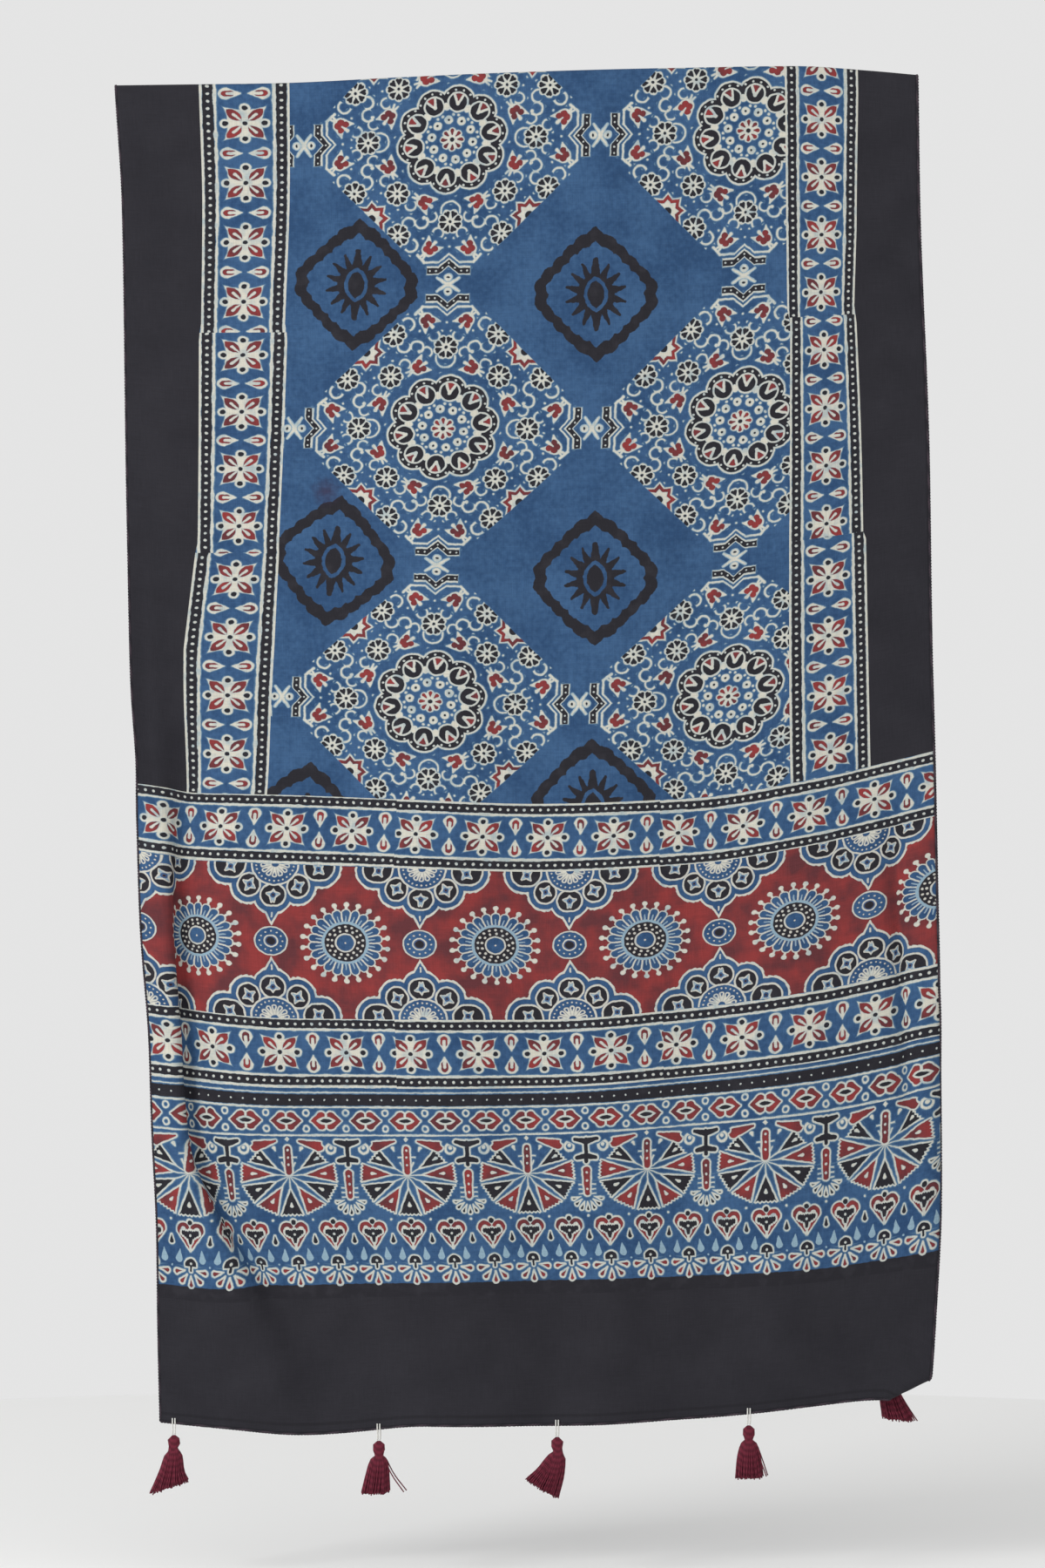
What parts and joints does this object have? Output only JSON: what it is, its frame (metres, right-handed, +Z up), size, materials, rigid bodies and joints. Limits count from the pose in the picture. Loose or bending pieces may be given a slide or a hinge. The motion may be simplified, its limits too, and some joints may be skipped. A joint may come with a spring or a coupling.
{
  "type": "block-printed ajrakh stole",
  "caption": "Block-printed cotton stole hanging folded over its top edge, with starry side borders, a diamond field, a red rosette band, a plain dark hem and thread tassels.",
  "frame": {"origin": "middle of the top fold, where the stole hangs", "axes": "+Z up, the front half with its tassels faces -Y, +X to the right of someone who looks at the front"},
  "size_m": [0.5782, 0.042, 0.998],
  "materials": {
    "printed_cotton": "soft matte cotton, resist-printed and dyed in indigo, madder red and black",
    "tassel_thread": "maroon cotton thread with a slight sheen",
    "white_thread": "white cotton thread"
  },
  "bodies": {
    "root": {"cloth": "printed_cotton", "tassel_1": "tassel_thread", "tassel_2": "tassel_thread", "tassel_3": "tassel_thread", "tassel_4": "tassel_thread", "tassel_5": "tassel_thread", "tassel_loop_1": "white_thread", "tassel_loop_2": "white_thread", "tassel_loop_3": "white_thread", "tassel_loop_4": "white_thread", "tassel_loop_5": "white_thread"}
  },
  "joints": []
}
